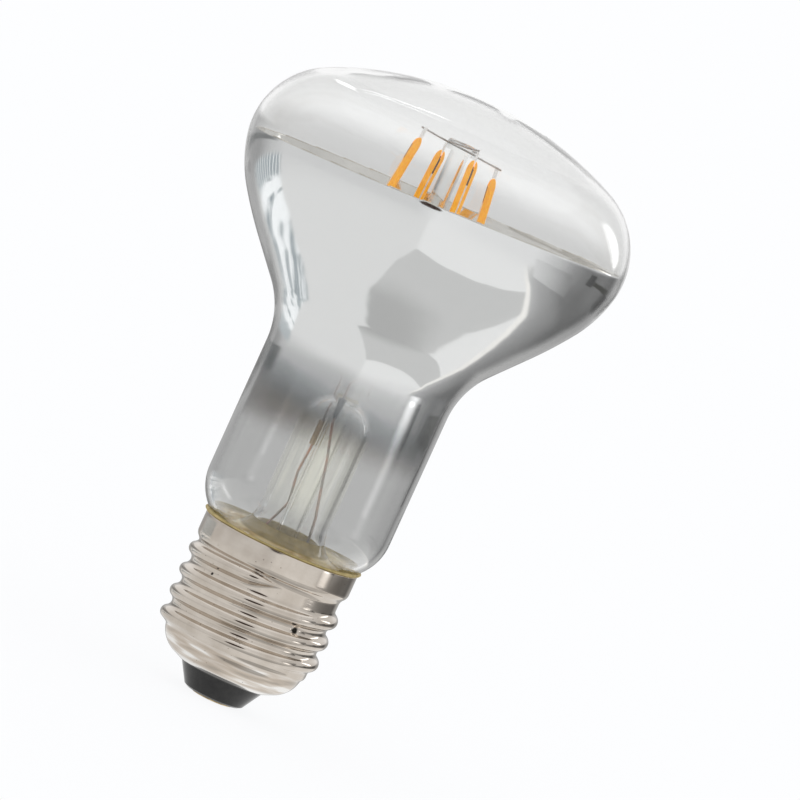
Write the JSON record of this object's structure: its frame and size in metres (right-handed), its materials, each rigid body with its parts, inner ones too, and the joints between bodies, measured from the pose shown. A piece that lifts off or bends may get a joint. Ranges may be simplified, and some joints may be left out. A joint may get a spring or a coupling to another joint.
{
  "type": "reflector bulb",
  "caption": "Clear reflector lamp: blown glass with a mirrored bowl, upright LED filament strips on a glass stem, and a rolled screw cap with its driver inside.",
  "frame": {"origin": "middle of the centre contact's outer face, on the lamp's axis", "axes": "+Z along the lamp's axis from the centre contact to the dome; -Y towards the side seen in the picture"},
  "size_m": [0.063, 0.063, 0.1024],
  "materials": {
    "clear_glass": "clear blown soda-lime glass",
    "mirror_aluminium": "bright vacuum-coated aluminium, fading to clear down the neck",
    "steel_wire": "drawn nickel-plated steel wire",
    "copper_clad_wire": "drawn copper-clad wire",
    "amber_seal": "glossy fused bead",
    "dark_seal": "dark oxidised sleeve",
    "cement": "matte basing cement",
    "nickel_sheet": "rolled nickel-plated sheet, satin",
    "black_glass": "cast black glass",
    "contact_brass": "stamped and tinned",
    "solder": "soft solder",
    "board_laminate": "green laminate",
    "chip_moulding": "moulded black plastic",
    "capacitor_can": "sleeved can",
    "resistor_enamel": "enamelled body on a wire",
    "phosphor": "silicone loaded with yellow phosphor",
    "strip_ceramic": "fired white ceramic strip",
    "strip_terminal": "stamped and tinned sheet"
  },
  "bodies": {
    "root": {"glass_envelope": "clear_glass", "glass_stem": "clear_glass", "mirror_coating": "mirror_aluminium", "bus_wire_long": "steel_wire", "bus_wire_short": "steel_wire", "crosswire_left": "steel_wire", "crosswire_right": "steel_wire", "shell_wire": "steel_wire", "lead_wire_left": "copper_clad_wire", "lead_wire_right": "copper_clad_wire", "seal_bead_left": "amber_seal", "seal_sleeve_right": "dark_seal", "cap_cement": "cement", "screw_shell": "nickel_sheet", "cap_insulator": "black_glass", "centre_contact": "contact_brass", "contact_solder": "solder", "driver_board": "board_laminate", "driver_chip": "chip_moulding", "rectifier": "chip_moulding", "smoothing_capacitor": "capacitor_can", "fuse_resistor": "resistor_enamel", "filament_1_back_phosphor": "phosphor", "filament_1_front_phosphor": "phosphor", "filament_2_back_phosphor": "phosphor", "filament_2_front_phosphor": "phosphor", "filament_3_back_phosphor": "phosphor", "filament_3_front_phosphor": "phosphor", "filament_4_back_phosphor": "phosphor", "filament_4_front_phosphor": "phosphor", "filament_1_core": "strip_ceramic", "filament_2_core": "strip_ceramic", "filament_3_core": "strip_ceramic", "filament_4_core": "strip_ceramic", "filament_1_foot_tab": "strip_terminal", "filament_1_top_tab": "strip_terminal", "filament_2_foot_tab": "strip_terminal", "filament_2_top_tab": "strip_terminal", "filament_3_foot_tab": "strip_terminal", "filament_3_top_tab": "strip_terminal", "filament_4_foot_tab": "strip_terminal", "filament_4_top_tab": "strip_terminal"}
  },
  "joints": []
}
